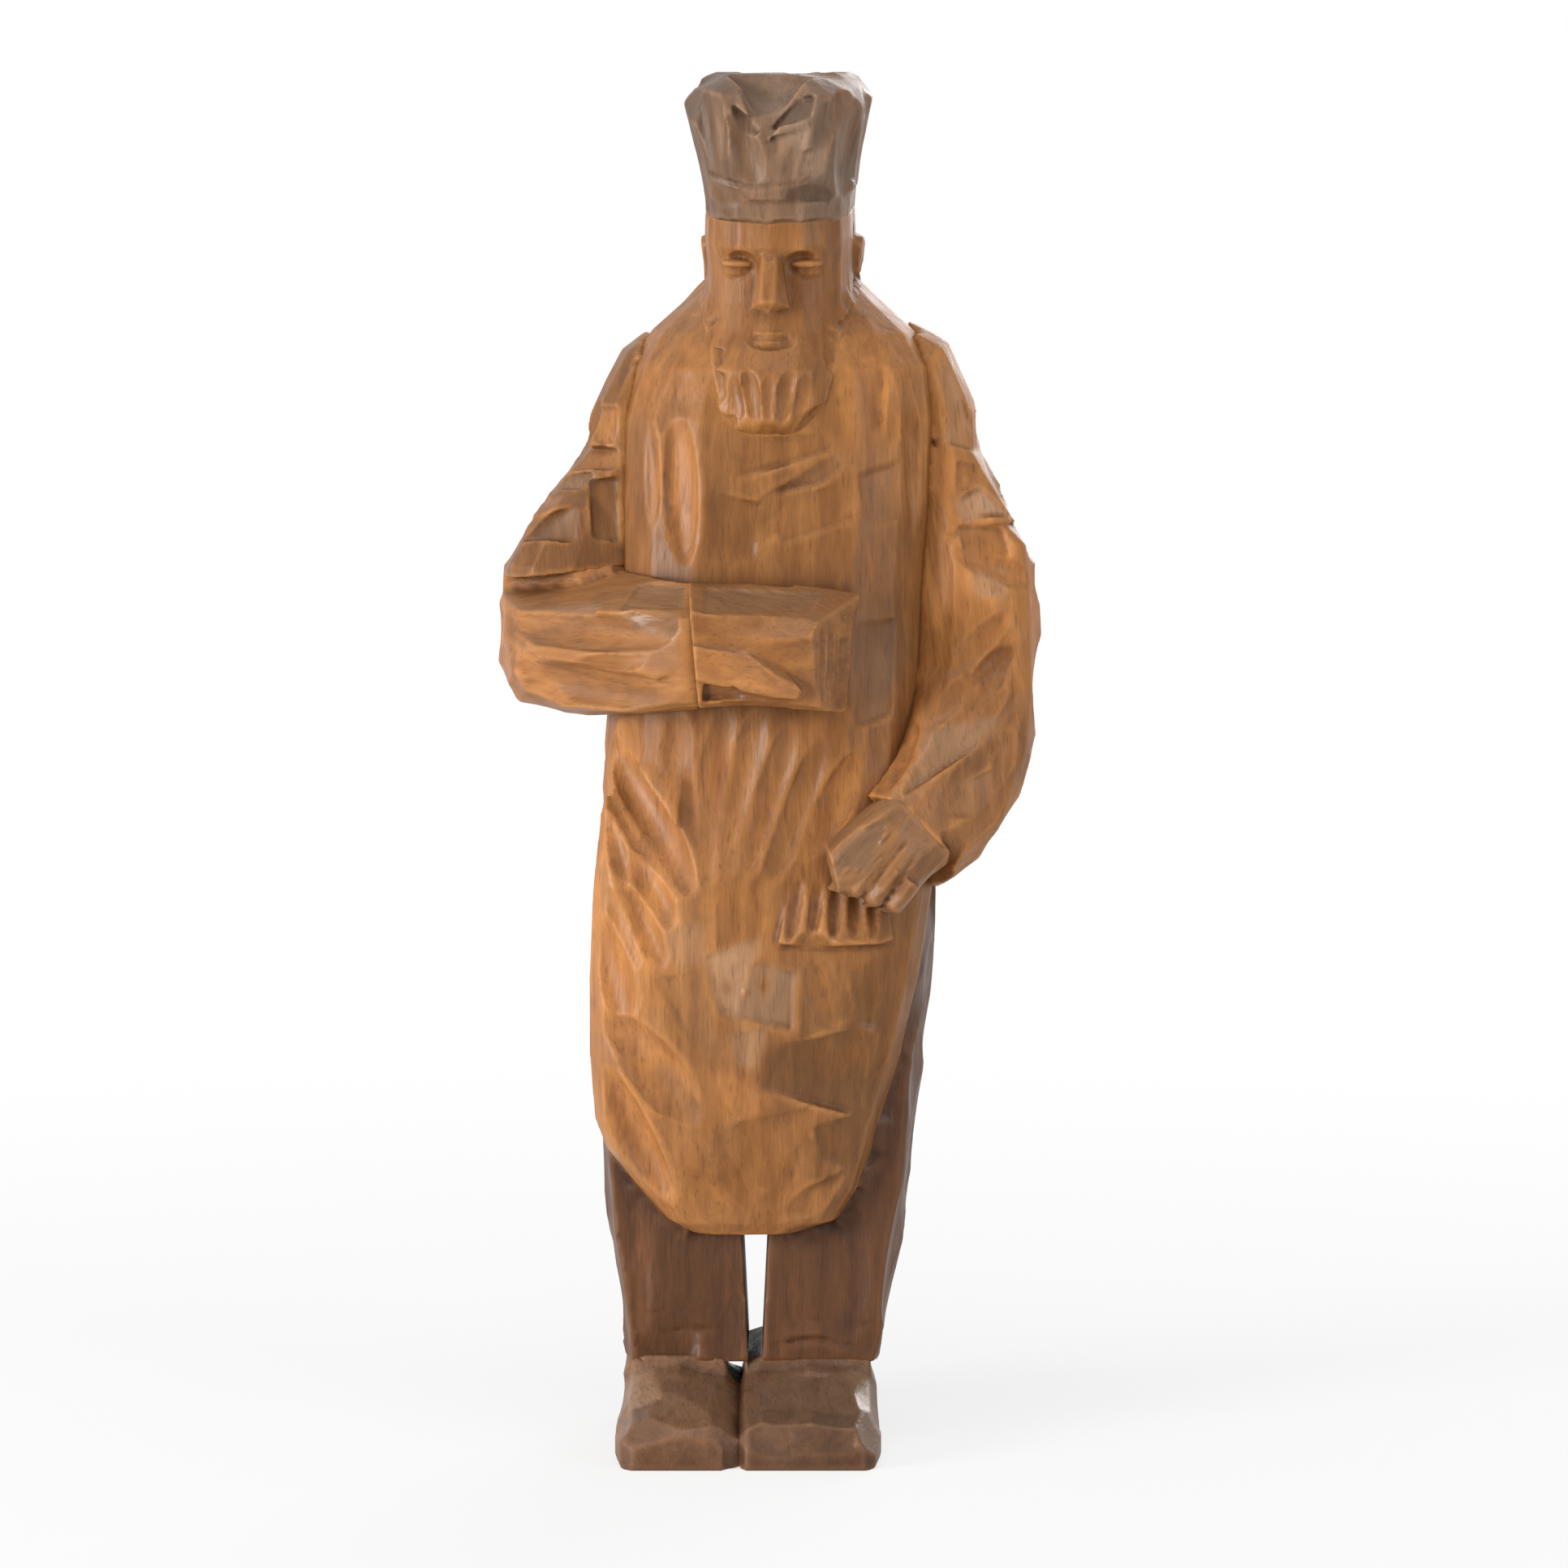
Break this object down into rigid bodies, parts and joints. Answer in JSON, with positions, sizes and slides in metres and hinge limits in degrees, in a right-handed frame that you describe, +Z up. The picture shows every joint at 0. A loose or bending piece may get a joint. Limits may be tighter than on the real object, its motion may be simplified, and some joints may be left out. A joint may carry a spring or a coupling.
{
  "type": "carved wooden figure",
  "caption": "Standing carved wooden man in a flared cap, long smock, apron and blunt shoes, one fist at the belly and one hand on the apron; shelf ornament standing on its flat soles.",
  "frame": {"origin": "middle of the figure's outline box, on the floor under the soles", "axes": "+Z up along the figure; the face looks along -Y; +X is to the figure's left"},
  "size_m": [0.0739, 0.0559, 0.1854],
  "materials": {
    "honey_wood": "satin, honey-brown stain, knife facets",
    "grey_brown_wood": "satin, grey-brown stain, knife facets",
    "dark_brown_wood": "satin, dark brown stain, knife facets",
    "dowel_wood": "bare birch"
  },
  "bodies": {
    "root": {"hat": "grey_brown_wood", "head": "honey_wood", "body": "honey_wood", "right_upper_arm": "honey_wood", "right_forearm": "honey_wood", "right_fist": "honey_wood", "left_arm": "honey_wood", "left_hand": "honey_wood", "trousers": "dark_brown_wood", "right_shoe": "dark_brown_wood", "left_shoe": "dark_brown_wood", "hat_dowel": "dowel_wood", "right_shoulder_dowel": "dowel_wood", "right_elbow_dowel": "dowel_wood", "right_wrist_dowel": "dowel_wood", "left_shoulder_dowel": "dowel_wood", "left_wrist_dowel": "dowel_wood", "right_hip_dowel": "dowel_wood", "left_hip_dowel": "dowel_wood", "apron_dowel": "dowel_wood", "right_ankle_dowel": "dowel_wood", "left_ankle_dowel": "dowel_wood"}
  },
  "joints": []
}
